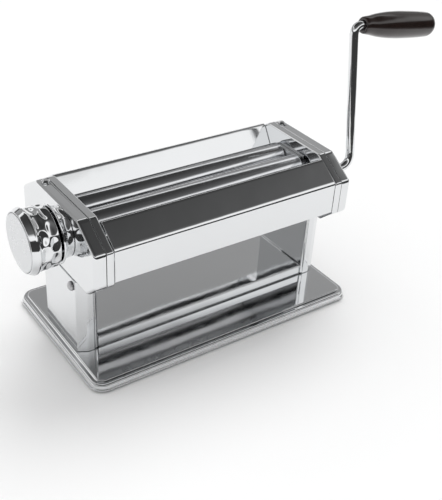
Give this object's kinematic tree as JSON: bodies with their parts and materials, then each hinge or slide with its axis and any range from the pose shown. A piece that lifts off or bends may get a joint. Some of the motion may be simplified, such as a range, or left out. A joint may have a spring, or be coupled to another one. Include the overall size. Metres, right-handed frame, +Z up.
{
  "type": "pasta roller machine",
  "caption": "Hand-cranked roller machine for flattening dough or clay, with chromed end housings, hopper hoods, thickness knob and removable crank on a flat base.",
  "frame": {"origin": "on the surface under the feet, below the middle of the whole object", "axes": "+X towards the crank grip, -Y is the front that the sheet leaves by, +Z up"},
  "size_m": [0.3818, 0.144, 0.2358],
  "materials": {
    "chrome": "mirror chrome plate on pressed steel",
    "roller_steel": "ground and chromed roller steel",
    "brushed": "brushed",
    "plain_steel": "plain zinc-plated steel",
    "grip_plastic": "very dark brown, glossy",
    "bush_nylon": "natural nylon",
    "foot_rubber": "matte black"
  },
  "bodies": {
    "root": {"base_bridge": "chrome", "base_plate": "chrome", "front_hood": "chrome", "front_tie_rod": "plain_steel", "inner_drive_bush": "bush_nylon", "left_column": "chrome", "left_column_screw": "plain_steel", "left_cover_screw": "chrome", "left_front_base_bolt": "plain_steel", "left_front_base_nut": "plain_steel", "left_front_foot": "foot_rubber", "left_front_tie_nut": "plain_steel", "left_hopper_guard": "brushed", "left_rear_base_bolt": "plain_steel", "left_rear_base_nut": "plain_steel", "left_rear_bush": "bush_nylon", "left_rear_foot": "foot_rubber", "left_rear_tie_nut": "plain_steel", "left_side_cover": "chrome", "left_side_frame": "chrome", "outer_drive_bush": "chrome", "rear_hood": "chrome", "rear_scraper": "brushed", "rear_scraper_bar": "plain_steel", "rear_tie_rod": "plain_steel", "regulator_collar": "chrome", "right_column": "chrome", "right_column_screw": "plain_steel", "right_cover_screw": "chrome", "right_front_base_bolt": "plain_steel", "right_front_base_nut": "plain_steel", "right_front_foot": "foot_rubber", "right_front_tie_nut": "plain_steel", "right_hopper_guard": "brushed", "right_rear_base_bolt": "plain_steel", "right_rear_base_nut": "plain_steel", "right_rear_bush": "bush_nylon", "right_rear_foot": "foot_rubber", "right_rear_tie_nut": "plain_steel", "right_side_cover": "chrome", "right_side_frame": "chrome"},
    "drive": {"drive_shaft": "chrome", "drive_pinion": "plain_steel"},
    "crank": {"crank_rod": "chrome"},
    "grip": {"crank_grip": "grip_plastic"},
    "rear_roller": {"rear_roller": "roller_steel", "rear_roller_gear": "plain_steel"},
    "carriage": {"left_roller_block": "plain_steel", "right_roller_block": "plain_steel", "carriage_bar": "plain_steel", "front_scraper": "brushed"},
    "front_roller": {"front_roller": "roller_steel", "front_roller_gear": "plain_steel"},
    "regulator": {"regulator_shaft": "plain_steel", "knob_spring": "plain_steel"},
    "knob": {"regulator_knob": "chrome", "knob_face": "brushed", "index_pin": "plain_steel"}
  },
  "joints": [
    {"name": "drive_turn", "type": "hinge", "parent": "root", "child": "drive", "pos_m": [0.07191, -0.0337, 0.112], "axis": [1, 0, 0], "continuous": true},
    {"name": "crank_pull", "type": "slide", "parent": "drive", "child": "crank", "axis": [1, 0, 0], "range_m": [0, 0.018]},
    {"name": "grip_spin", "type": "hinge", "parent": "crank", "child": "grip", "pos_m": [0.11184, -0.01526, 0.22845], "axis": [0.9925, -0.0191, -0.1204], "continuous": true},
    {"name": "rear_roller_turn", "type": "hinge", "parent": "root", "child": "rear_roller", "pos_m": [-0.03809, 0.0122, 0.112], "axis": [1, 0, 0], "continuous": true},
    {"name": "regulator_turn", "type": "hinge", "parent": "root", "child": "regulator", "pos_m": [-0.15809, -0.0111, 0.112], "axis": [1, 0, 0], "range_deg": [0, 180]},
    {"name": "knob_pull", "type": "slide", "parent": "regulator", "child": "knob", "axis": [-1, 0, 0], "range_m": [0, 0.004], "stiffness_N_per_m": 700, "springref_m": -0.004, "deforming": ["knob_spring"]},
    {"name": "gap_slide", "type": "slide", "parent": "root", "child": "carriage", "axis": [0, 1, 0], "range_m": [0, 0.0022]},
    {"name": "front_roller_turn", "type": "hinge", "parent": "carriage", "child": "front_roller", "pos_m": [-0.03809, -0.0122, 0.112], "axis": [1, 0, 0], "continuous": true}
  ],
  "couplings": [
    {"joint": "rear_roller_turn", "follows": "drive_turn", "ratio": 0.90909},
    {"joint": "front_roller_turn", "follows": "drive_turn", "ratio": -0.90909},
    {"joint": "gap_slide", "follows": "regulator_turn", "m_per_rad": 0.00070028}
  ]
}
